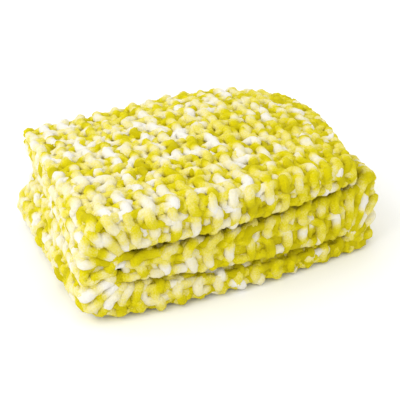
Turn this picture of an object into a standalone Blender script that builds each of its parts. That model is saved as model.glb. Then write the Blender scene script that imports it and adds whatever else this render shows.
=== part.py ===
"""A garter-stitch knit throw of thick soft yarn, folded in thirds both ways.

The throw is one flat knit panel. It is folded across its width first, and the
folded strip is then folded in thirds along its length, so that the pack shows
three tiers at its front. +X runs along the pack's long side, +Y to its back
and +Z up. The origin is at the middle of its base.
"""

import math
from collections import namedtuple

import bmesh
import bpy

NAME = "throw"

# Driving sizes, in metres
PACK_LENGTH = 0.50
PACK_DEPTH = 0.37
CLOTH = 0.0188
PLY_GAP = 0.0010
TIER_GAP = 0.0015

# Sizes that follow from them
PLY_PITCH = CLOTH + PLY_GAP
PLIES = 3
TIER = (PLIES - 1) * PLY_PITCH + CLOTH
TIER_PITCH = TIER + TIER_GAP
TIERS = 3
STACK = (TIERS - 1) * TIER_PITCH + TIER

# A straight stretch of a folded line, then the turn at its end
Leg = namedtuple("Leg", "run run_steps turn_degrees radius turn_steps")
Station = namedtuple("Station", "across up normal_across normal_up leg")

# The fold across the width: the selvedge is tucked below the front edge, the
# top ply runs from there to the back, and the two other plies lie under it
FRONT_TURN = PLY_PITCH
HALF_STRAIGHT = PACK_DEPTH / 2 - FRONT_TURN - CLOTH / 2
FLAP = 0.008
INNER_TURN = PLY_PITCH / 2
INNER_STOP = 0.022
BACK_PLY = 2 * HALF_STRAIGHT - FLAP - INNER_STOP
INNER_PLY = BACK_PLY
WIDTH_LEGS = (
    Leg(FLAP, 1, -180, FRONT_TURN, 8),
    Leg(2 * HALF_STRAIGHT, 7, -180, FRONT_TURN, 7),
    Leg(BACK_PLY, 6, -180, INNER_TURN, 4),
    Leg(INNER_PLY, 5, 0, 0, 0),
)

# The fold along the length: top tier, left end, bottom tier, right end, middle
LEFT_TURN = TIER_PITCH
RIGHT_TURN = TIER_PITCH / 2
LEFT_CENTRE = -PACK_LENGTH / 2 + LEFT_TURN + TIER / 2
RIGHT_CENTRE = PACK_LENGTH / 2 - RIGHT_TURN - TIER / 2
TOP_END = 0.246
TOP_SKEW = 0.060
PUFF = 0.030
PUFF_FROM = 0.004
PUFF_OVER = 0.028
INNER_END = LEFT_CENTRE - 0.004
INNER_BULGE = 0.021
LENGTH_LEGS = (
    Leg(TOP_END - LEFT_CENTRE, 9, 180, LEFT_TURN, 12),
    Leg(RIGHT_CENTRE - LEFT_CENTRE, 8, 180, RIGHT_TURN, 12),
    Leg(RIGHT_CENTRE - INNER_END, 8, 0, 0, 0),
)

# How the pack settles, as unevenly as it was put down
EDGE_SQUARENESS = 4.0
LEFT_SQUARENESS = (9.0, 3.3)
RIGHT_SQUARENESS = 2.8
LEFT_SWAY = 0.018
LEFT_SWAY_POWER = 0.6
LOWER_STAY = 0.5
UPPER_STAY = 0.9
LEFT_SKEW = 0.008
RIGHT_BULGE = 0.014
RIGHT_BOW = 0.020
FRONT_BOW = 0.018
FRONT_BOW_ENDS = 0.6
CROWN = 0.024
CROWN_AT = (0.08, 0.08)
CROWN_REACH = (0.20, 0.17)
BACK_DROP = 0.012
RIGHT_ROLL = 0.026
RIGHT_ROLL_POWER = 7
TIER_SHIFTS_LEFT = (0.052, -0.010, 0.0)
TIER_SHIFTS_RIGHT = (-0.125, -0.040, 0.024)
TIER_SAGS = (0.019, -0.064, 0.0)
MIDDLE_TUCK = 0.006
CORNER_PULL = 0.05
CENTRING = (-0.01455, 0.00313)


def walk(legs, across, up, heading):
    """Stations along a folded line that starts at a point with a heading."""
    found = []

    def note(number):
        normal = (-math.sin(heading), math.cos(heading))
        found.append(Station(across, up, *normal, number))

    note(0)
    for number, leg in enumerate(legs):
        for _ in range(leg.run_steps):
            across += math.cos(heading) * leg.run / leg.run_steps
            up += math.sin(heading) * leg.run / leg.run_steps
            note(number)
        if not leg.turn_steps:
            continue
        turn = math.radians(leg.turn_degrees) / leg.turn_steps
        side = math.copysign(leg.radius, turn)
        centre_across = across - math.sin(heading) * side
        centre_up = up + math.cos(heading) * side
        for _ in range(leg.turn_steps):
            heading += turn
            across = centre_across + math.sin(heading) * side
            up = centre_up - math.cos(heading) * side
            note(number)
    return found


def width_stations():
    """The strip's section, from the tucked selvedge to the inner ply's edge."""
    return walk(WIDTH_LEGS, FLAP - HALF_STRAIGHT, -PLY_PITCH, math.pi)


def length_stations():
    """The strip's middle line, from the top tier's end to the middle tier's."""
    top_middle = TIER / 2 + 2 * TIER_PITCH
    return walk(LENGTH_LEGS, TOP_END, top_middle, math.pi)


def squared(across, up, power):
    """A point of a round turn about the origin pushed out to a squarer turn."""
    reach = math.hypot(across, up)
    if reach < 1e-9:
        return across, up
    cosine = abs(across) / reach
    sine = abs(up) / reach
    push = (cosine**power + sine**power) ** (-1 / power)
    return across * push, up * push


def squared_edges(y, lift):
    """The strip's round front and back edges pushed out to squarer ones."""
    beyond = abs(y) - HALF_STRAIGHT
    if beyond <= 0:
        return y, lift
    beyond, lift = squared(beyond, lift, EDGE_SQUARENESS)
    return math.copysign(HALF_STRAIGHT + beyond, y), lift


def squared_right_end(x, z):
    """The round turn at the right end pushed out to a squarer one."""
    if x <= RIGHT_CENTRE:
        return x, z
    centre = TIER / 2 + RIGHT_TURN
    across, up = squared(x - RIGHT_CENTRE, z - centre, RIGHT_SQUARENESS)
    return RIGHT_CENTRE + across, centre + up


def puffed_right_end(x, y, z):
    """The right end's turn risen where the top tier leaves it free."""
    front = max(0.0, 0.5 - y / PACK_DEPTH)
    free = x - (TOP_END - TOP_SKEW * front**1.5)
    risen = min(1.0, max(0.0, (free - PUFF_FROM) / PUFF_OVER)) ** 2
    centre = TIER / 2 + RIGHT_TURN
    return z + PUFF * risen * max(0.0, z / centre - 1)


def blend(first, last, share):
    """The value a share of the way from the first to the last."""
    return first + (last - first) * share


def squared_left_end(x, y, z):
    """The pack's round left end pushed out to one squarer at its back."""
    if x >= LEFT_CENTRE:
        return x, z
    front = min(1.0, max(0.0, 0.5 - y / PACK_DEPTH))
    power = blend(*LEFT_SQUARENESS, front)
    across, up = squared(x - LEFT_CENTRE, z - STACK / 2, power)
    return LEFT_CENTRE + across, STACK / 2 + up


def settled(x, y, z):
    """Where a point of the neatly folded pack lies once it has settled."""
    x, z = squared_left_end(x, y, z)
    share = z / STACK
    along = min(1.0, max(0.0, x / PACK_LENGTH + 0.5))

    sagging = max(0.0, math.sin(math.pi * along)) ** 1.5
    swing, swell, even = (
        blend(left, right, along) + sag * sagging
        for left, right, sag in zip(TIER_SHIFTS_LEFT, TIER_SHIFTS_RIGHT, TIER_SAGS)
    )
    level = share + swing * math.sin(2 * math.pi * share)
    level += swell * math.sin(math.pi * share) + even * math.sin(4 * math.pi * share)
    crown = CROWN * math.exp(
        -(((x - CROWN_AT[0]) / CROWN_REACH[0]) ** 2)
        - ((y - CROWN_AT[1]) / CROWN_REACH[1]) ** 2
    )
    front = 0.5 - y / PACK_DEPTH
    drop = RIGHT_ROLL * along**RIGHT_ROLL_POWER + BACK_DROP * (1 - front)
    height = level * (STACK + crown - drop)

    tuck = MIDDLE_TUCK * math.sin(math.pi * share) ** 2 * front
    tuck -= FRONT_BOW * (math.sin(math.pi * along) - FRONT_BOW_ENDS) * front**2
    pull = 1 - CORNER_PULL * along**6
    sway = RIGHT_BULGE * math.sin(math.pi * share) * along**4
    sway += RIGHT_BOW * (1 - (2 * y / PACK_DEPTH) ** 2) * along**6
    turn = max(0.0, share) ** LEFT_SWAY_POWER
    stay = 1 - (UPPER_STAY if turn > 0.5 else LOWER_STAY) * front
    sway -= LEFT_SWAY * stay * math.sin(2 * math.pi * turn) * (1 - along) ** 2
    sway += LEFT_SKEW * (1 - front) * (1 - along) ** 2
    return x + sway + CENTRING[0], (y + tuck) * pull + CENTRING[1], height


def folded(length_at, width_at, offset):
    """A point of the cloth, offset from its middle, in the folded pack."""
    depth = width_at.across + offset * width_at.normal_across
    lift = width_at.up + offset * width_at.normal_up
    depth, lift = squared_edges(depth, lift)
    x = length_at.across - lift * length_at.normal_across
    z = length_at.up - lift * length_at.normal_up
    if length_at.leg == 0:
        share = max(0.0, (x - LEFT_CENTRE) / (TOP_END - LEFT_CENTRE))
        front = max(0.0, 0.5 - depth / PACK_DEPTH)
        x -= TOP_SKEW * share**2 * front**1.5
    else:
        x, z = squared_right_end(x, z)
        z = puffed_right_end(x, depth, z)
    if length_at.leg == len(LENGTH_LEGS) - 1:
        share = (RIGHT_CENTRE - x) / (RIGHT_CENTRE - INNER_END)
        x -= INNER_BULGE * share * (1 - (2 * lift / TIER) ** 2)
    return settled(x, depth, z)


def flat_cloth(columns, rows):
    """The flat panel as a thin block of one grid cell for each station."""
    shape = bmesh.new()
    bmesh.ops.create_grid(shape, x_segments=columns, y_segments=rows, size=0.5)
    top = bmesh.ops.extrude_face_region(shape, geom=shape.faces[:])
    risen = [item for item in top["geom"] if isinstance(item, bmesh.types.BMVert)]
    bmesh.ops.translate(shape, vec=(0, 0, CLOTH), verts=risen)
    bmesh.ops.translate(shape, vec=(0, 0, -CLOTH / 2), verts=shape.verts[:])
    bmesh.ops.recalc_face_normals(shape, faces=shape.faces[:])
    return shape


def build_throw(collection):
    """The whole throw as one solid."""
    along = length_stations()
    across = width_stations()
    columns, rows = len(along) - 1, len(across) - 1
    shape = flat_cloth(columns, rows)
    for vertex in shape.verts:
        column = round((vertex.co.x + 0.5) * columns)
        row = round((vertex.co.y + 0.5) * rows)
        vertex.co = folded(along[column], across[row], vertex.co.z)
    bmesh.ops.reverse_faces(shape, faces=shape.faces[:])

    mesh = bpy.data.meshes.new(NAME)
    shape.to_mesh(mesh)
    shape.free()
    mesh.shade_smooth()
    throw = bpy.data.objects.new(NAME, mesh)
    throw.data.materials.append(yarn_material())
    collection.objects.link(throw)
    return throw


def yarn_material():
    """Soft pale yellow-green yarn."""
    material = bpy.data.materials.new("yarn")
    material.use_nodes = True
    surface = material.node_tree.nodes["Principled BSDF"]
    surface.inputs["Base Color"].default_value = (0.80, 0.78, 0.25, 1.0)
    surface.inputs["Roughness"].default_value = 0.95
    surface.inputs["Metallic"].default_value = 0.0
    return material


def main():
    """Clears the scene and builds the throw in a collection of its own."""
    for old in list(bpy.data.objects):
        bpy.data.objects.remove(old)
    collection = bpy.data.collections.new("knit_throw")
    bpy.context.scene.collection.children.link(collection)
    build_throw(collection)


main()
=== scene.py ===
"""A folded garter-stitch throw of thick chenille yarn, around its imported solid.

The throw's yarn is laid along the same folds as the solid: one row of
stitches after another runs across the cloth, and the folded cloth carries
each stitch to its place in the pack. Lengths are in metres. +X runs along the
pack's long side, +Y to its back and +Z up.
"""

import logging
import math
from dataclasses import dataclass, field
from enum import Enum, IntEnum
from functools import cached_property

import bmesh
import bpy
import numpy as np
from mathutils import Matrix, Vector, noise

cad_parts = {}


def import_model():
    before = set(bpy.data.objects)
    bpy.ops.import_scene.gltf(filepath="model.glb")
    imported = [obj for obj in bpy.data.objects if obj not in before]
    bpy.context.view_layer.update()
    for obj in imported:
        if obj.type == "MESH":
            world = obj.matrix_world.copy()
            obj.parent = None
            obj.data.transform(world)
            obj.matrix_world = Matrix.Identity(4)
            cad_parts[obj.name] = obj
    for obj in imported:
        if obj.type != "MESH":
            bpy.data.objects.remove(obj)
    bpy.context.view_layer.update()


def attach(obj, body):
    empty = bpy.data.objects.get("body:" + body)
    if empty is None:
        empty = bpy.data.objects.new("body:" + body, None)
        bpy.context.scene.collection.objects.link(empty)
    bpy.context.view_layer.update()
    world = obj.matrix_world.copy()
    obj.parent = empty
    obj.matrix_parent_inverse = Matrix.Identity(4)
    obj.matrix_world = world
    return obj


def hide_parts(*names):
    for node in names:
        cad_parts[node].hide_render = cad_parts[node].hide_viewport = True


LOG = logging.getLogger("knit_throw")
NODE = "throw"
# The attribute with each point's depth in the knit, which drives the painted shade in the
# recesses.
ALONG_YARN = "along_yarn"
PAINTED_SHADE_DEPTH = "painted_shade_depth"
TINY = 1e-9


class Face(Enum):
    """Which ends of its loops a row of knitting shows on the outer side."""

    FEET = -1
    HEADS = 1


class Tier(IntEnum):
    """The pack's tiers, in the order in which the cloth runs through them."""

    TOP = 0
    BOTTOM = 1
    MIDDLE = 2


@dataclass(frozen=True)
class Leg:
    """A straight stretch of a folded line and the turn that follows it."""

    run: float
    turn_degrees: float = 0.0
    radius: float = 0.0

    @property
    def turn(self) -> float:
        """The turn in radians."""
        return math.radians(self.turn_degrees)

    @property
    def length(self) -> float:
        """The whole length of the stretch and its turn."""
        return self.run + abs(self.turn) * self.radius


@dataclass(frozen=True)
class FoldedLine:
    """A line of straight stretches and round turns, in a plane."""

    legs: tuple[Leg, ...]
    start: tuple[float, float]
    heading: float

    @property
    def length(self) -> float:
        """The whole length of the line."""
        return sum(leg.length for leg in self.legs)

    def at(self, distance: np.ndarray) -> tuple[np.ndarray, ...]:
        """Finds points along the line.

        Args:
            distance: How far along the line each point lies. The first and
                the last stretch go on straight beyond the line's ends.

        Returns:
            Where each point lies across and up, the unit normal there across
            and up, and the number of the leg that it lies on.
        """
        across = np.empty_like(distance)
        up = np.empty_like(distance)
        angle = np.empty_like(distance)
        leg_at = np.empty(distance.shape, int)
        x, y, heading, begun = *self.start, self.heading, 0.0
        for number, leg in enumerate(self.legs):
            last = number == len(self.legs) - 1
            here = distance >= begun if number else np.full(distance.shape, True)
            along = distance[here] - begun
            straight = along if last else np.minimum(along, leg.run)
            bend = np.zeros_like(along)
            side = 0.0
            if leg.radius:
                side = math.copysign(leg.radius, leg.turn)
                bend = np.clip((along - leg.run) / side, *sorted((0.0, leg.turn)))
            turned = heading + bend
            across[here] = x + math.cos(heading) * straight + side * (
                np.sin(turned) - math.sin(heading)
            )
            up[here] = y + math.sin(heading) * straight - side * (
                np.cos(turned) - math.cos(heading)
            )
            angle[here] = turned
            leg_at[here] = number
            x += math.cos(heading) * leg.run
            x += side * (math.sin(heading + leg.turn) - math.sin(heading))
            y += math.sin(heading) * leg.run
            y -= side * (math.cos(heading + leg.turn) - math.cos(heading))
            heading += leg.turn
            begun += leg.length
        return across, up, -np.sin(angle), np.cos(angle), leg_at


@dataclass(frozen=True)
class PackSizes:
    """The sizes of the folded pack, the same as its solid's."""

    length: float = 0.50
    depth: float = 0.37
    cloth: float = 0.0188
    ply_gap: float = 0.0010
    tier_gap: float = 0.0015
    flap: float = 0.008
    inner_stop: float = 0.022
    top_end: float = 0.246
    inner_past: float = 0.004

    @property
    def ply_pitch(self) -> float:
        """From one ply's middle to the next."""
        return self.cloth + self.ply_gap

    @property
    def tier(self) -> float:
        """The thickness of the strip of three plies."""
        return 2 * self.ply_pitch + self.cloth

    @property
    def tier_pitch(self) -> float:
        """From one tier's middle to the next."""
        return self.tier + self.tier_gap

    @property
    def stack(self) -> float:
        """The height of the three tiers before they settle."""
        return 2 * self.tier_pitch + self.tier

    @property
    def half_straight(self) -> float:
        """Half of the top ply's straight run."""
        return self.depth / 2 - self.ply_pitch - self.cloth / 2

    @property
    def left_centre(self) -> float:
        """Where along the pack the left end's turn is centred."""
        return -self.length / 2 + self.tier_pitch + self.tier / 2

    @property
    def right_centre(self) -> float:
        """Where along the pack the right end's turn is centred."""
        return self.length / 2 - self.tier_pitch / 2 - self.tier / 2

    @property
    def inner_end(self) -> float:
        """Where along the pack the middle tier ends."""
        return self.left_centre - self.inner_past

    def over(self, x: np.ndarray) -> np.ndarray:
        """How far along the pack points lie, from 0 at its left end to 1."""
        return np.clip(x / self.length + 0.5, 0, 1)

    def front(self, y: np.ndarray) -> np.ndarray:
        """How near the pack's front points lie, from 0 at its back to 1."""
        return 0.5 - y / self.depth

    def width_line(self) -> FoldedLine:
        """Draws the strip's section, from the tucked selvedge to the inner edge.

        Returns:
            The cloth's middle line in that section.
        """
        top = 2 * self.half_straight
        under = top - self.flap - self.inner_stop
        legs = (
            Leg(self.flap, -180, self.ply_pitch),
            Leg(top, -180, self.ply_pitch),
            Leg(under, -180, self.ply_pitch / 2),
            Leg(under),
        )
        return FoldedLine(legs, (self.flap - self.half_straight, -self.ply_pitch), math.pi)

    def length_line(self) -> FoldedLine:
        """Draws the strip's middle line, through its tiers in their order.

        Returns:
            The line, seen from the pack's front.
        """
        legs = (
            Leg(self.top_end - self.left_centre, 180, self.tier_pitch),
            Leg(self.right_centre - self.left_centre, 180, self.tier_pitch / 2),
            Leg(self.right_centre - self.inner_end),
        )
        start = (self.top_end, self.tier / 2 + 2 * self.tier_pitch)
        return FoldedLine(legs, start, math.pi)


@dataclass(frozen=True)
class Settling:
    """How the pack settles, as unevenly as it was put down."""

    # The left end's squareness and lean, and how the middle tier stays upright.
    back_squareness: float = 9.0
    front_squareness: float = 3.3
    left_sway: float = 0.018
    left_sway_power: float = 0.6
    lower_stay: float = 0.5
    upper_stay: float = 0.9
    left_skew: float = 0.008
    upright: float = 1.5
    upright_from: float = 0.015
    upright_over: float = 0.06

    # The right end's turn, and how it swells beside the top tier.
    right_squareness: float = 2.8
    right_bulge: float = 0.014
    right_bulge_power: int = 4
    right_bow: float = 0.020
    right_roll: float = 0.026
    right_roll_power: float = 7
    corner_pull: float = 0.05
    corner_power: int = 6
    puff: float = 0.030
    puff_from: float = 0.004
    puff_over: float = 0.028

    # The long front and back edges.
    edge_squareness: float = 4.0
    front_bow: float = 0.018
    front_bow_ends: float = 0.6
    middle_tuck: float = 0.006
    back_drop: float = 0.012

    # The cloth's two free ends, and how the tiers share the height.
    inner_bulge: float = 0.021
    top_skew: float = 0.060
    top_skew_power: float = 1.5
    crown: float = 0.024
    crown_at: tuple[float, float] = (0.08, 0.08)
    crown_reach: tuple[float, float] = (0.20, 0.17)
    shifts_left: tuple[float, float, float] = (0.052, -0.010, 0.0)
    shifts_right: tuple[float, float, float] = (-0.125, -0.040, 0.024)
    sags: tuple[float, float, float] = (0.019, -0.064, 0.0)
    sag_power: float = 1.5
    centring: tuple[float, float] = (-0.01455, 0.00313)


def squared(
    across: np.ndarray, up: np.ndarray, power: np.ndarray | float
) -> tuple[np.ndarray, ...]:
    """Pushes the points of a round turn about the origin out to a squarer one.

    Args:
        across: Where the points lie across.
        up: Where the points lie up.
        power: 2 keeps the turn round, and more makes it squarer.

    Returns:
        The new places across and up.
    """
    reach = np.maximum(np.hypot(across, up), TINY)
    cosine, sine = np.abs(across) / reach, np.abs(up) / reach
    push = np.maximum(cosine**power + sine**power, TINY) ** (-1 / power)
    return across * push, up * push


@dataclass(frozen=True)
class FoldedCloth:
    """The cloth's folds, which carry a point of the flat cloth to the pack."""

    sizes: PackSizes = PackSizes()
    settling: Settling = Settling()
    probe: float = 0.001

    def place(self, along: np.ndarray, across: np.ndarray, offset: np.ndarray) -> np.ndarray:
        """Carries points of the flat cloth to their places in the pack.

        Args:
            along: Distances along the cloth from its cast-off edge.
            across: Distances across the cloth from its tucked selvedge.
            offset: Distances from the cloth's middle to its outer side.

        Returns:
            One row of x, y and z for each point.
        """
        sizes, settling = self.sizes, self.settling
        y, lift, normal_y, normal_lift, _ = sizes.width_line().at(across)
        y, lift = y + offset * normal_y, lift + offset * normal_lift
        beyond = np.abs(y) - sizes.half_straight
        out, squared_lift = squared(np.maximum(beyond, 0), lift, settling.edge_squareness)
        y = np.where(beyond > 0, np.copysign(sizes.half_straight + out, y), y)
        lift = np.where(beyond > 0, squared_lift, lift)

        x, z, normal_x, normal_z, leg = sizes.length_line().at(along)
        x, z = x - lift * normal_x, z - lift * normal_z
        share = (sizes.right_centre - x) / (sizes.right_centre - sizes.inner_end)
        bulge = settling.inner_bulge * share * (1 - (2 * lift / sizes.tier) ** 2)
        x = np.where(leg == Tier.MIDDLE, x - bulge, x)
        share = (x - sizes.left_centre) / (sizes.top_end - sizes.left_centre)
        front = np.maximum(sizes.front(y), 0) ** settling.top_skew_power
        skew = settling.top_skew * np.maximum(share, 0) ** 2 * front
        centre = sizes.tier / 2 + sizes.tier_pitch / 2
        out, up = squared(
            np.maximum(x - sizes.right_centre, 0), z - centre, settling.right_squareness
        )
        on_top = leg == Tier.TOP
        at_right = ~on_top & (x > sizes.right_centre)
        z = np.where(at_right, centre + up, z)
        x = np.where(on_top, x - skew, np.where(at_right, sizes.right_centre + out, x))
        free = x - (sizes.top_end - settling.top_skew * front) - settling.puff_from
        risen = settling.puff * np.clip(free / settling.puff_over, 0, 1) ** 2
        z = np.where(on_top, z, z + risen * np.maximum(z / centre - 1, 0))
        into = (x - sizes.inner_end - settling.upright_from) / settling.upright_over
        upright = np.where(leg == Tier.MIDDLE, np.clip(into, 0, 1), 0)
        return self._settled(x, y, z, 1 - settling.upright * upright)

    def _settled(
        self, x: np.ndarray, y: np.ndarray, z: np.ndarray, leaning: np.ndarray
    ) -> np.ndarray:
        """Moves points of the neatly folded pack to where they settle.

        Args:
            x: Where the points lie along the pack.
            y: Where they lie from its front to its back.
            z: How high they lie.
            leaning: How far the rows lean with the left end, from 0 to 1.

        Returns:
            One row of x, y and z for each point.
        """
        sizes, settling = self.sizes, self.settling
        front = sizes.front(y)
        squareness = settling.back_squareness + np.clip(front, 0, 1) * (
            settling.front_squareness - settling.back_squareness
        )
        out, up = squared(
            np.minimum(x - sizes.left_centre, 0), z - sizes.stack / 2, squareness
        )
        at_left = x < sizes.left_centre
        x = np.where(at_left, sizes.left_centre + out, x)
        z = np.where(at_left, sizes.stack / 2 + up, z)

        share = z / sizes.stack
        over = sizes.over(x)
        height = self._height(x, y, share)
        tuck = settling.middle_tuck * np.sin(np.pi * share) ** 2 * front
        bow = np.sin(np.pi * over) - settling.front_bow_ends
        tuck = tuck - settling.front_bow * bow * front**2
        corner = over**settling.corner_power
        pull = 1 - settling.corner_pull * corner
        bulge = over**settling.right_bulge_power
        sway = settling.right_bulge * np.sin(np.pi * share) * bulge
        sway = sway + settling.right_bow * (1 - (2 * y / sizes.depth) ** 2) * corner
        turn = np.maximum(share, 0) ** settling.left_sway_power
        stay = np.where(turn > 0.5, settling.upper_stay, settling.lower_stay)
        swayed = settling.left_sway * (1 - stay * front) * np.sin(2 * np.pi * turn)
        swayed = swayed * (1 - over) ** 2
        sway = sway - leaning * swayed
        sway = sway + settling.left_skew * (1 - front) * (1 - over) ** 2
        x = x + sway + settling.centring[0]
        y = (y + tuck) * pull + settling.centring[1]
        return np.stack((x, y, height), axis=-1)

    def _height(self, x: np.ndarray, y: np.ndarray, share: np.ndarray) -> np.ndarray:
        """Works out how high points of the pack settle.

        Args:
            x: Where the points lie along the pack.
            y: Where they lie from its front to its back.
            share: How high they lay before, as a share of the stack.

        Returns:
            How high they lie once settled.
        """
        sizes, settling = self.sizes, self.settling
        over = sizes.over(x)
        sagging = np.maximum(np.sin(np.pi * over), 0) ** settling.sag_power
        swing, swell, even = (
            left + (right - left) * over + sag * sagging
            for left, right, sag in zip(
                settling.shifts_left, settling.shifts_right, settling.sags
            )
        )
        level = share + swing * np.sin(2 * np.pi * share) + swell * np.sin(np.pi * share)
        level = level + even * np.sin(4 * np.pi * share)
        crown = settling.crown * np.exp(
            -(((x - settling.crown_at[0]) / settling.crown_reach[0]) ** 2)
            - ((y - settling.crown_at[1]) / settling.crown_reach[1]) ** 2
        )
        drop = settling.right_roll * over**settling.right_roll_power
        drop = drop + settling.back_drop * (1 - sizes.front(y))
        return level * (sizes.stack + crown - drop)

    def under(self, along: np.ndarray, across: np.ndarray, depth: np.ndarray) -> np.ndarray:
        """Places points a true depth below the cloth's outer side.

        Args:
            along: Distances along the cloth from its cast-off edge.
            across: Distances across the cloth from its tucked selvedge.
            depth: How deep each point lies below the outer side.

        Returns:
            One row of x, y and z for each point.
        """
        outside = np.full_like(along, self.sizes.cloth / 2)
        skin = self.place(along, across, outside)
        one_way = self.place(along + self.probe, across, outside) - skin
        other_way = self.place(along, across + self.probe, outside) - skin
        outward = np.cross(other_way, one_way)
        outward /= np.maximum(np.linalg.norm(outward, axis=-1, keepdims=True), TINY)
        return skin - outward * depth[:, None]


def flattened(wave: np.ndarray, power: np.ndarray | float) -> np.ndarray:
    """Flattens a wave's crests and steepens its flanks.

    Args:
        wave: Values from -1 to 1.
        power: How flat the crests become.

    Returns:
        Values from -1 to 1.
    """
    return np.tanh(power * wave) / np.tanh(power)


@dataclass(frozen=True)
class Knit:
    """The garter stitch: how its rows and stitches lie in the cloth."""

    cloth: FoldedCloth = FoldedCloth()

    # The gauge, how finely it is drawn and where its random draws start.
    row_pitch: float = 0.0158
    stitch_pitch: float = 0.048
    yarn_radius: float = 0.0074
    steps: int = 28
    marks: int = 400
    seed: int = 7
    seeds_apart: int = 1000
    lip_seeds: int = 500
    knot_pitch: float = 0.5

    # How the yarn rises and dips: more on the front, which the first stitches
    # of a row cover, than on the top.
    front_relief: float = 0.0034
    top_relief: float = 0.0027
    front_flatness: float = 1.2
    top_flatness: float = 0.5
    front_looseness: float = 0.10
    more_on_top: float = 0.07
    top_from: float = 0.07
    top_over: float = 0.04

    # The loops of a row, and how uneven they are.
    reach: float = 0.70
    omega: float = 0.080
    sideways: float = 0.6
    row_start: float = 0.25
    over_end: int = 1
    shown_stitches: float = 10.5
    uneven_depth: float = 0.0012
    uneven_thickness: float = 0.05
    head_thinning: float = 0.09

    # The turns at the selvedge.
    turn_points: int = 12
    turn_bulge: float = 0.008
    turn_fullness: float = 0.6
    turn_rise: float = 0.6

    # The cords under the ridges, along the tiers' lower front lips.
    lip: float = 0.027
    hidden_lip: float = 0.012
    lip_relief: float = 0.6
    uneven_lip: float = 0.0015
    uneven_lip_depth: float = 0.0008

    # The chains along the cast-on and cast-off edges.
    chain_links: float = 1.5
    chain_away: float = 0.45
    chain_swing: float = 0.16
    chain_depth: float = 1.1
    chain_rise: float = 0.0012
    chain_thickness: float = 1.05
    chain_swell: float = 0.08

    # How the lowest yarn flattens against the floor.
    floor_touch: float = 0.97
    floor_softness: float = 0.003

    @cached_property
    def row_marks(self) -> tuple[np.ndarray, np.ndarray]:
        """Marks where rows and cloth agree, spaced along the cloth's true skin.

        Returns:
            Row numbers, and the distances along the cloth at which they lie.
        """
        sizes = self.cloth.sizes
        flap, top, *_ = sizes.width_line().legs
        distances = np.linspace(0, sizes.length_line().length, self.marks)
        middle = np.full_like(distances, flap.length + top.run / 2)
        skin = self.cloth.place(distances, middle, np.full_like(distances, sizes.cloth / 2))
        steps = np.linalg.norm(np.diff(skin, axis=0), axis=1)
        return np.concatenate(([0.0], np.cumsum(steps))) / self.row_pitch, distances

    def along(self, row: np.ndarray) -> np.ndarray:
        """Finds how far along the cloth rows lie.

        Args:
            row: Row numbers.

        Returns:
            The distance along the cloth of each.
        """
        rows, distances = self.row_marks
        beyond = np.minimum(row, 0) + np.maximum(row - rows[-1], 0)
        return np.interp(row, rows, distances) + beyond * self.row_pitch

    def across(self, stitch: np.ndarray) -> np.ndarray:
        """Finds how far across the cloth stitches lie.

        Args:
            stitch: Stitch numbers, counted along the cloth's outer side.

        Returns:
            The distance across the cloth of each.
        """
        sizes = self.cloth.sizes
        outer, middle = [0.0], [0.0]
        for leg in sizes.width_line().legs:
            around = abs(leg.turn) * (leg.radius + sizes.cloth / 2)
            outer += [outer[-1] + leg.run, outer[-1] + leg.run + around]
            middle += [middle[-1] + leg.run, middle[-1] + leg.length]
        length = stitch * self.stitch_pitch
        beyond = np.minimum(length, 0) + np.maximum(length - outer[-1], 0)
        return np.interp(length, outer, middle) + beyond

    def rows(self) -> int:
        """How many rows the cloth has, an even number."""
        return int((self.row_marks[0][-1] + self.over_end) // 2) * 2

    def wander(
        self, number: int, at: np.ndarray, knots: np.ndarray, count: int
    ) -> list[np.ndarray]:
        """Draws values that wander at random along a length of yarn.

        Args:
            number: The number that the length's draws start from.
            at: Where along it the values are wanted.
            knots: Where along it a value is drawn.
            count: How many values wander side by side.

        Returns:
            The values, one array for each.
        """
        chance = np.random.default_rng(self.seed * self.seeds_apart + number)
        return [np.interp(at, knots, chance.normal(0, 1, len(knots))) for _ in range(count)]

    def row_path(self, row: int, stitches: float) -> np.ndarray:
        """Lays one row of yarn.

        Args:
            row: The row's number.
            stitches: How many stitches of the row are laid.

        Returns:
            One line of row number, distance across, depth and thickness for
            each point, from the selvedge inward.
        """
        count = int(stitches * self.steps)
        turn = self.row_start + np.arange(count) / self.steps
        # The knots reach past both ends of the row.
        knots = np.arange(-1, stitches + 3, self.knot_pitch)
        reach, sideways, deep, thick = self.wander(row, turn, knots, 4)
        face = Face.HEADS if row % 2 else Face.FEET
        wave = np.cos(2 * np.pi * turn)
        on_top = np.clip((turn * self.stitch_pitch - self.top_from) / self.top_over, 0, 1)
        flatness = self.front_flatness + (self.top_flatness - self.front_flatness) * on_top
        crest = flattened(wave, flatness)
        loose = self.front_looseness + self.more_on_top * on_top
        rows = row + 0.5 - (self.reach + loose * reach) * crest
        across = turn + self.omega * np.sin(4 * np.pi * turn)
        across = self.across(across + self.sideways * loose * sideways)
        relief = self.front_relief + (self.top_relief - self.front_relief) * on_top
        depth = self.yarn_radius + relief * (1 + face.value * crest)
        depth = depth + self.uneven_depth * deep
        thick = 1 + self.uneven_thickness * thick - self.head_thinning * face.value * wave
        return np.stack((rows, across, depth, thick), axis=-1)

    def turn_path(self, first: np.ndarray, last: np.ndarray) -> np.ndarray:
        """Lays the turn at the selvedge from one row's start to the next's.

        Args:
            first: The point where the turn leaves a row.
            last: The point where it joins the next row.

        Returns:
            The points between them, bulging out of the selvedge.
        """
        share = np.linspace(0, 1, self.turn_points + 2)[1:-1, None]
        path = first + (last - first) * (3 * share**2 - 2 * share**3)
        bow = np.sin(np.pi * share[:, 0]) ** self.turn_fullness
        path[:, 1] -= self.turn_bulge * bow
        path[:, 2] -= self.turn_rise * (path[:, 2] - self.yarn_radius) * bow
        return path

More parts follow.
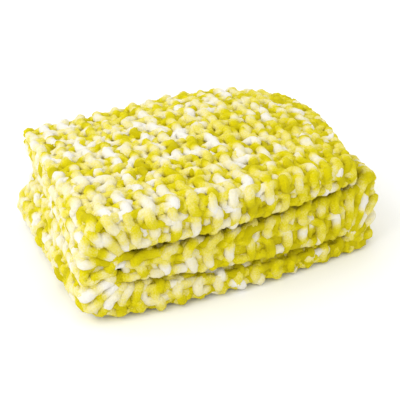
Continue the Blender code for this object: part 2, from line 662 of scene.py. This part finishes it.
    def pair_path(self, row: int, stitches: float) -> np.ndarray:
        """Lays two rows joined at the selvedge, as one length of yarn.

        Args:
            row: The first row's number.
            stitches: How many stitches of each row are laid.

        Returns:
            The points of both rows, as row_path gives them.
        """
        first = self.row_path(row, stitches)[::-1]
        second = self.row_path(row + 1, stitches)
        return np.concatenate((first, self.turn_path(first[-1], second[0]), second))

    def lip_path(self, first: int, last: int) -> np.ndarray:
        """Lays the cord along the tiers' lower front lips, under the ridges.

        Args:
            first: The row number that it starts at.
            last: The row number that it ends at.

        Returns:
            The cord's points, as row_path gives them.
        """
        rows = np.linspace(first, last, (last - first) * self.steps // 2)
        knots = np.arange(first, last + 1)
        sideways, deep, thick = self.wander(self.lip_seeds + first, rows, knots, 3)
        legs = self.cloth.sizes.length_line().legs
        bends = np.cumsum([part for leg in legs for part in (leg.run, leg.length - leg.run)])
        lips = (self.lip, self.hidden_lip, self.hidden_lip, self.lip)
        across = np.interp(self.along(rows), bends[: len(lips)], lips)
        across = across + self.uneven_lip * sideways
        ridge = flattened(np.cos(np.pi * rows), self.front_flatness)
        depth = self.yarn_radius + self.lip_relief * self.front_relief * (1 + ridge)
        depth = depth + self.uneven_lip_depth * deep
        thick = 1 + self.uneven_thickness * thick
        return np.stack((rows, across, depth, thick), axis=-1)

    def edge_path(self, row: float, away: float) -> np.ndarray:
        """Lays the chain that binds off an end of the throw, one strand of it.

        Args:
            row: The row number that the chain lies at.
            away: -1 where the throw ends below that row number, or 1 above.

        Returns:
            The chain's points, as row_path gives them.
        """
        width = self.cloth.sizes.width_line().length
        turn = np.arange(0, width / self.stitch_pitch * self.chain_links, 1 / self.steps)
        wave = np.cos(2 * np.pi * turn)
        rows = row + away * (self.chain_away + self.chain_swing * wave)
        depth = self.yarn_radius * self.chain_depth
        depth = depth + self.chain_rise * np.sin(4 * np.pi * turn)
        thick = self.chain_thickness + self.chain_swell * np.sin(2 * np.pi * turn)
        across = turn * self.stitch_pitch / self.chain_links
        return np.stack((rows, across, depth, thick), axis=-1)

    def placed(self, path: np.ndarray) -> np.ndarray:
        """Carries a path's points to their places, on or above the floor.

        Args:
            path: The path's points, as row_path gives them.

        Returns:
            One row of x, y and z for each point.
        """
        places = self.cloth.under(self.along(path[:, 0]), path[:, 1], path[:, 2])
        above = places[:, 2] - self.yarn_radius * path[:, 3] * self.floor_touch
        places[:, 2] += (np.hypot(above, self.floor_softness) - above) / 2
        return places


def new_effect(
    name: str, inputs: dict[str, str], output: str, kind: str
) -> tuple[bpy.types.NodeTree, bpy.types.Node, bpy.types.Node]:
    """Makes an empty effect with its named inputs and output.

    Args:
        name: The effect's name.
        inputs: What kind of socket each input is, by the input's name.
        output: The output's name.
        kind: What kind of socket the output is.

    Returns:
        The effect, the node that gives its inputs and the one that takes its
        result.
    """
    tree = bpy.data.node_groups.new(name, "ShaderNodeTree")
    for socket, given in inputs.items():
        tree.interface.new_socket(socket, in_out="INPUT", socket_type=given)
    tree.interface.new_socket(output, in_out="OUTPUT", socket_type=kind)
    return tree, tree.nodes.new("NodeGroupInput"), tree.nodes.new("NodeGroupOutput")


def set_inputs(node: bpy.types.Node, values: dict[str, float | tuple[float, ...]]) -> None:
    """Sets constants on a node's own inputs.

    Args:
        node: The node.
        values: The constants, by the inputs' names.
    """
    for name, value in values.items():
        node.inputs[name].default_value = value


def worked(
    tree: bpy.types.NodeTree, operation: str, *values: bpy.types.NodeSocket | float
) -> bpy.types.NodeSocket:
    """Adds a node that works out a value.

    Args:
        tree: The node tree.
        operation: What the node does.
        values: The outputs or numbers that it works on, in their order.

    Returns:
        The output with the result.
    """
    node = tree.nodes.new("ShaderNodeMath")
    node.operation = operation
    for socket, value in zip(node.inputs, values):
        if isinstance(value, bpy.types.NodeSocket):
            tree.links.new(value, socket)
        else:
            socket.default_value = value
    return node.outputs["Value"]


@dataclass(frozen=True)
class Grain:
    """An uneven grain, from 0 to 1."""

    size: float
    detail: float
    roughness: float = 0.5

    def value(
        self, tree: bpy.types.NodeTree, at: bpy.types.NodeSocket, socket: str = "Vector"
    ) -> bpy.types.NodeSocket:
        """Adds the node that gives the grain.

        Args:
            tree: The node tree.
            at: The output that gives the place, or the length along the yarn.
            socket: "Vector" for a place, or "W" for a length.

        Returns:
            The output with the grain.
        """
        node = tree.nodes.new("ShaderNodeTexNoise")
        node.noise_dimensions = "1D" if socket == "W" else "3D"
        sizes = {"Scale": 1 / self.size, "Detail": self.detail, "Roughness": self.roughness}
        set_inputs(node, sizes)
        tree.links.new(at, node.inputs[socket])
        return node.outputs["Fac"]


@dataclass(frozen=True)
class DyeAndPaintedLight:
    """The yarn's dyed colours, which change softly along its length, with painted shade and
    painted light mixed in.
    """

    white: tuple[float, float, float] = (0.92, 0.89, 0.80)
    cream: tuple[float, float, float] = (0.90, 0.83, 0.50)
    lemon: tuple[float, float, float] = (0.86, 0.76, 0.16)
    lime: tuple[float, float, float] = (0.77, 0.67, 0.004)
    olive: tuple[float, float, float] = (0.60, 0.51, 0.001)
    stops: tuple[float, ...] = (0.28, 0.405, 0.49, 0.56, 0.71)
    runs: Grain = Grain(0.048, 1.5, 0.45)
    flecks: Grain = Grain(0.0025, 3)
    pools: Grain = Grain(0.07, 1)
    pooling: float = 0.30
    # Painted shade: the deeper the yarn lies in the knit, the further its colour moves towards
    # lime and olive.
    painted_recess_shade: float = 0.07
    # Painted light, partly the yarn's own uneven colouring: the colours turn paler towards the
    # lit left end, the top and the back, and deeper towards the front and the right.
    drift_and_painted_light: tuple[float, float, float] = (0.20, -0.14, -0.12)

    def group(self) -> bpy.types.NodeTree:
        """Builds the effect: the yarn's colour from the length along it, with painted shade
        where the yarn lies deep and painted light towards the lit side.

        Returns:
            The effect. It takes the length, how deep the yarn lies for the painted shade, the
            place and the flecks' spread.
        """
        number = "NodeSocketFloat"
        inputs = {"Along": number, "Depth for painted shade": number, "Place": "NodeSocketVector", "Spread": number}
        tree, given, result = new_effect("dyed_runs_and_painted_light", inputs, "Color", "NodeSocketColor")
        nodes, links = tree.nodes, tree.links
        along, painted_shade_depth, place, spread = (given.outputs[name] for name in inputs)

        flecked = worked(tree, "SUBTRACT", self.flecks.value(tree, place), 0.5)
        pooled = self.pools.value(tree, place)
        # Painted light, partly the yarn's own uneven colouring: paler towards the lit left end
        # and the top.
        drift_and_painted_light = nodes.new("ShaderNodeVectorMath")
        drift_and_painted_light.operation = "DOT_PRODUCT"
        drift_and_painted_light.inputs[1].default_value = self.drift_and_painted_light
        links.new(place, drift_and_painted_light.inputs[0])
        mixed = self.runs.value(tree, along, "W")
        for part in (
            worked(tree, "MULTIPLY", flecked, spread),
            worked(tree, "MULTIPLY_ADD", pooled, self.pooling, -self.pooling / 2),
            # Painted shade where the yarn lies deep in the knit.
            worked(tree, "MULTIPLY", painted_shade_depth, self.painted_recess_shade),
            drift_and_painted_light.outputs["Value"],
        ):
            mixed = worked(tree, "ADD", mixed, part)

        ramp = nodes.new("ShaderNodeValToRGB")
        colours = (self.white, self.cream, self.lemon, self.lime, self.olive)
        while len(ramp.color_ramp.elements) < len(colours):
            ramp.color_ramp.elements.new(0.5)
        for element, at, colour in zip(ramp.color_ramp.elements, self.stops, colours):
            element.position = at
            element.color = (*colour, 1)
        links.new(mixed, ramp.inputs["Fac"])
        links.new(ramp.outputs["Color"], result.inputs["Color"])
        return tree


@dataclass(frozen=True)
class Pile:
    """The yarn's short soft pile."""

    tufts: Grain = Grain(0.0024, 3, 0.65)
    strength: float = 0.8

    def group(self) -> bpy.types.NodeTree:
        """Builds the effect: a tufted normal of a given depth.

        Returns:
            The effect. It takes the place and the tufts' depth.
        """
        inputs = {"Place": "NodeSocketVector", "Depth": "NodeSocketFloat"}
        tree, given, result = new_effect("pile", inputs, "Normal", "NodeSocketVector")
        bump = tree.nodes.new("ShaderNodeBump")
        bump.inputs["Strength"].default_value = self.strength
        tree.links.new(given.outputs["Depth"], bump.inputs["Distance"])
        height = self.tufts.value(tree, given.outputs["Place"])
        tree.links.new(height, bump.inputs["Height"])
        tree.links.new(bump.outputs["Normal"], result.inputs["Normal"])
        return tree


@dataclass(frozen=True)
class Chenille:
    """A chenille finish: dyed runs along the yarn, with painted shade and painted light, under a
    soft pile.
    """

    name: str
    pile_depth: float
    flecks: float
    roughness: float = 0.95
    specular: float = 0.03
    sheen: float = 0.06
    sheen_roughness: float = 0.5
    sheen_tint: tuple[float, float, float, float] = (1.0, 0.97, 0.80, 1)

    def material(self, dye_and_painted_light: bpy.types.NodeTree, pile: bpy.types.NodeTree) -> bpy.types.Material:
        """Builds the finish's material.

        Args:
            dye_and_painted_light: The dyed runs' effect, with its painted shade and painted
                light.
            pile: The pile's effect.

        Returns:
            The material.
        """
        made = bpy.data.materials.new(self.name)
        made.use_nodes = True
        nodes, links = made.node_tree.nodes, made.node_tree.links
        surface = nodes["Principled BSDF"]
        place = nodes.new("ShaderNodeTexCoord").outputs["Object"]

        # The base colour: dyed runs with painted shade in the recesses and painted light towards
        # the lit side.
        runs = nodes.new("ShaderNodeGroup")
        runs.node_tree = dye_and_painted_light
        runs.inputs["Spread"].default_value = self.flecks
        for attribute, socket in ((ALONG_YARN, "Along"), (PAINTED_SHADE_DEPTH, "Depth for painted shade")):
            kept = nodes.new("ShaderNodeAttribute")
            kept.attribute_name = attribute
            links.new(kept.outputs["Fac"], runs.inputs[socket])
        links.new(place, runs.inputs["Place"])
        links.new(runs.outputs["Color"], surface.inputs["Base Color"])

        tufts = nodes.new("ShaderNodeGroup")
        tufts.node_tree = pile
        tufts.inputs["Depth"].default_value = self.pile_depth
        links.new(place, tufts.inputs["Place"])
        links.new(tufts.outputs["Normal"], surface.inputs["Normal"])

        finish = {
            "Roughness": self.roughness,
            "Specular IOR Level": self.specular,
            "Sheen Weight": self.sheen,
            "Sheen Roughness": self.sheen_roughness,
            "Sheen Tint": self.sheen_tint,
        }
        set_inputs(surface, finish)
        return made


def keep_values(mesh: bpy.types.Mesh, name: str, values: np.ndarray) -> None:
    """Keeps one value for each point of a mesh, as an attribute.

    Args:
        mesh: The mesh.
        name: The attribute's name.
        values: The values, in the order of the points.
    """
    mesh.attributes.new(name, "FLOAT", "POINT").data.foreach_set("value", values)


def put_down(
    name: str, mesh: bpy.types.Mesh, material: bpy.types.Material
) -> bpy.types.Object:
    """Puts a finished mesh into the scene.

    Args:
        name: The piece's name.
        mesh: Its mesh.
        material: Its only material.

    Returns:
        The finished piece.
    """
    mesh.name = name
    mesh.materials.clear()
    mesh.materials.append(material)
    piece = bpy.data.objects.new(name, mesh)
    bpy.context.scene.collection.objects.link(piece)
    return piece


@dataclass
class YarnPiece:
    """Lengths of yarn made into one mesh."""

    name: str
    knit: Knit
    paths: list[np.ndarray]
    roundness: int = 4
    lump: float = 0.0075
    lump_rise: float = 0.0016
    tuft: float = 0.0031
    tuft_rise: float = 0.0013
    weld: float = 1e-6
    skipped: float = 0.031
    begun: float = 0.0
    ends: float = field(default=0.0, init=False)

    def build(self, material: bpy.types.Material) -> bpy.types.Object:
        """Makes the piece.

        Args:
            material: The yarn's material.

        Returns:
            The finished piece.
        """
        mesh = self._tube()
        self._roughen(mesh)
        mesh.shade_smooth()
        return put_down(self.name, mesh, material)

    def _tube(self) -> bpy.types.Mesh:
        """Lays the yarn as a smooth tube, with its length kept on every point.

        Returns:
            The tube's mesh.
        """
        curve = bpy.data.curves.new(self.name, "CURVE")
        curve.dimensions = "3D"
        curve.bevel_depth = self.knit.yarn_radius
        curve.bevel_resolution = self.roundness
        lengths, depths = [], []
        length = self.begun
        for path in self.paths:
            places = self.knit.placed(path)
            spline = curve.splines.new("POLY")
            spline.points.add(len(places) - 1)
            spline.points.foreach_set(
                "co", np.column_stack((places, np.ones(len(places)))).ravel()
            )
            thick = path[:, 3].copy()
            thick[[0, -1]] = 0.0
            spline.points.foreach_set("radius", thick)
            steps = np.linalg.norm(np.diff(places, axis=0), axis=1)
            lengths.append(length + np.concatenate(([0.0], np.cumsum(steps))))
            length = lengths[-1][-1] + self.skipped
            depths.append(path[:, 2] - self.knit.yarn_radius)
        self.ends = length
        tube = bpy.data.objects.new(self.name, curve)
        mesh = bpy.data.meshes.new_from_object(tube)
        bpy.data.objects.remove(tube)
        bpy.data.curves.remove(curve)

        sides = len(mesh.vertices) // sum(len(path) for path in self.paths)
        keep_values(mesh, ALONG_YARN, np.repeat(np.concatenate(lengths), sides))
        # How deep the yarn lies in the knit, kept for the painted shade in the recesses.
        painted_shade_depth = np.concatenate(depths) / (2 * self.knit.front_relief)
        keep_values(mesh, PAINTED_SHADE_DEPTH, np.repeat(painted_shade_depth, sides))
        return mesh

    def _roughen(self, mesh: bpy.types.Mesh) -> None:
        """Closes the tube's ends and gives the yarn its lumps and tufts.

        Args:
            mesh: The tube's mesh.
        """
        shape = bmesh.new()
        shape.from_mesh(mesh)
        bmesh.ops.remove_doubles(shape, verts=shape.verts[:], dist=self.weld)
        bmesh.ops.recalc_face_normals(shape, faces=shape.faces[:])
        for vertex in shape.verts:
            lump = noise.noise(vertex.co / self.lump)
            tuft = noise.noise(vertex.co / self.tuft)
            vertex.co += vertex.normal * (self.lump_rise * lump + self.tuft_rise * tuft)
        shape.to_mesh(mesh)
        shape.free()


@dataclass
class Ground:
    """The inner thickness of the knit, seen only between its stitches."""

    knit: Knit
    deep: float = 0.0165
    shallow: float = 0.0090
    grain: float = 0.012

    def build(self, material: bpy.types.Material) -> bpy.types.Object:
        """Folds a thin flat sheet along the cloth's folds.

        Args:
            material: The yarn's material.

        Returns:
            The finished piece.
        """
        cloth = self.knit.cloth
        width, length = cloth.sizes.width_line().length, cloth.sizes.length_line().length
        columns, rows = round(length / self.grain), round(width / self.grain)
        shape = bmesh.new()
        bmesh.ops.create_grid(shape, x_segments=columns, y_segments=rows, size=0.5)
        top = bmesh.ops.extrude_face_region(shape, geom=shape.faces[:])
        risen = [item for item in top["geom"] if isinstance(item, bmesh.types.BMVert)]
        bmesh.ops.translate(shape, vec=(0, 0, 1), verts=risen)
        bmesh.ops.recalc_face_normals(shape, faces=shape.faces[:])
        mesh = bpy.data.meshes.new("ground")
        shape.to_mesh(mesh)
        shape.free()

        flat = np.empty(len(mesh.vertices) * 3)
        mesh.vertices.foreach_get("co", flat)
        flat = flat.reshape(-1, 3)
        inset = self.knit.yarn_radius
        along = inset + (flat[:, 0] + 0.5) * (length - 2 * inset)
        across = inset + (flat[:, 1] + 0.5) * (width - 2 * inset)
        outer = cloth.sizes.cloth / 2
        offset = outer - self.deep + flat[:, 2] * (self.deep - self.shallow)
        mesh.vertices.foreach_set("co", cloth.place(along, across, offset).ravel())
        mesh.flip_normals()
        keep_values(mesh, ALONG_YARN, np.zeros_like(along))
        # The ground takes the full painted shade of the deepest recesses.
        keep_values(mesh, PAINTED_SHADE_DEPTH, np.ones_like(along))
        mesh.shade_smooth()
        return put_down("ground", mesh, material)


@dataclass
class Throw:
    """The whole throw: its ground and its lengths of yarn."""

    knit: Knit = Knit()
    yarn: Chenille = Chenille("chenille", pile_depth=0.0042, flecks=0.22)
    inner: Chenille = Chenille("inner_chenille", pile_depth=0.0050, flecks=0.30)
    rows_a_piece: int = 16

    def build(self) -> list[bpy.types.Object]:
        """Returns:
            Every piece of the throw.
        """
        dye_and_painted_light, pile = DyeAndPaintedLight().group(), Pile().group()
        material = self.yarn.material(dye_and_painted_light, pile)
        ground = Ground(self.knit).build(self.inner.material(dye_and_painted_light, pile))
        pieces = []
        begun = 0.0
        sizes = self.knit.cloth.sizes
        width, length = sizes.width_line().length, sizes.length_line().length
        full_stitches = width / self.knit.stitch_pitch - 0.5
        count = self.knit.rows()
        for number, first in enumerate(range(0, count, self.rows_a_piece)):
            last = min(first + self.rows_a_piece, count)
            paths = [
                self.knit.pair_path(row, self.knit.shown_stitches if row else full_stitches)
                for row in range(first, last, 2)
            ]
            paths.append(self.knit.lip_path(first, last))
            if not number:
                paths.append(self.knit.edge_path(0, -1))
            if last == count:
                paths.append(self.knit.edge_path(count, 1))
            yarn = YarnPiece(f"yarn_{number + 1}", self.knit, paths, begun=begun)
            pieces.append(yarn.build(material))
            begun = yarn.ends
        for piece in (ground, *pieces):
            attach(piece, "root")
        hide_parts(NODE)
        return [ground, *pieces]


@dataclass
class Studio:
    """A plain white floor, soft light and the photograph's viewpoint."""

    azimuth: float = -25.0
    elevation: float = 28.0
    distance: float = 1.30
    target: tuple[float, float, float] = (0.0, 0.0, 0.11)
    right_of_target: float = -0.0013
    below_target: float = 0.0427
    pixels_per_metre: float = 607.1
    frame_pixels: int = 400
    sensor: float = 36.0
    floor_size: float = 8.0
    floor_white: tuple[float, float, float, float] = (0.95, 0.95, 0.95, 1)
    surroundings: float = 1.09
    lamp_at: tuple[float, float, float] = (-1.8, -0.3, 1.7)
    lamp_size: float = 1.6
    lamp_power: float = 20.0

    def build(self) -> None:
        """Makes the floor, the light and the camera."""
        self._floor()
        self._light()
        self._camera()

    def _floor(self) -> None:
        """Lays a wide white floor."""
        shape = bmesh.new()
        bmesh.ops.create_grid(shape, x_segments=1, y_segments=1, size=self.floor_size)
        mesh = bpy.data.meshes.new("floor")
        shape.to_mesh(mesh)
        shape.free()
        floor = put_down("floor", mesh, self._floor_material())

    def _floor_material(self) -> bpy.types.Material:
        """Mixes the floor's plain white.

        Returns:
            The material.
        """
        made = bpy.data.materials.new("floor")
        made.use_nodes = True
        surface = made.node_tree.nodes["Principled BSDF"]
        finish = {"Base Color": self.floor_white, "Roughness": 1.0, "Specular IOR Level": 0.0}
        set_inputs(surface, finish)
        return made

    def _light(self) -> None:
        """Sets a bright surrounding and hangs a large soft lamp at the left."""
        world = bpy.data.worlds.new("studio")
        world.use_nodes = True
        background = world.node_tree.nodes["Background"]
        set_inputs(background, {"Color": (1, 1, 1, 1), "Strength": self.surroundings})
        bpy.context.scene.world = world
        bpy.context.scene.view_settings.view_transform = "Standard"

        lamp = bpy.data.lights.new("key", "AREA")
        lamp.size = self.lamp_size
        lamp.energy = self.lamp_power
        holder = bpy.data.objects.new("key", lamp)
        holder.location = self.lamp_at
        aim = Vector(self.target) - Vector(self.lamp_at)
        holder.rotation_euler = aim.to_track_quat("-Z", "Y").to_euler()
        bpy.context.scene.collection.objects.link(holder)

    def _camera(self) -> None:
        """Sets the camera at the photograph's viewing angle."""
        turn, rise = math.radians(self.azimuth), math.radians(self.elevation)
        back = Vector(
            (math.sin(turn) * math.cos(rise), -math.cos(turn) * math.cos(rise), math.sin(rise))
        )
        right = Vector((math.cos(turn), math.sin(turn), 0))
        up = back.cross(right)
        aim = Vector(self.target) + right * self.right_of_target - up * self.below_target
        place = Vector(self.target) + back * self.distance
        data = bpy.data.cameras.new("camera")
        data.sensor_width = self.sensor
        data.lens = self.distance * self.pixels_per_metre / self.frame_pixels * self.sensor
        camera = bpy.data.objects.new("camera", data)
        camera.location = place
        camera.rotation_euler = (aim - place).to_track_quat("-Z", "Y").to_euler()
        bpy.context.scene.collection.objects.link(camera)
        bpy.context.scene.camera = camera


def main() -> None:
    """Loads the frame and builds the throw and the studio around it."""
    logging.basicConfig(level=logging.INFO)
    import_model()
    for piece in Throw().build():
        piece.data.calc_loop_triangles()
        LOG.info("built %s: %d triangles", piece.name, len(piece.data.loop_triangles))
    Studio().build()


if __name__ == "__main__":
    main()
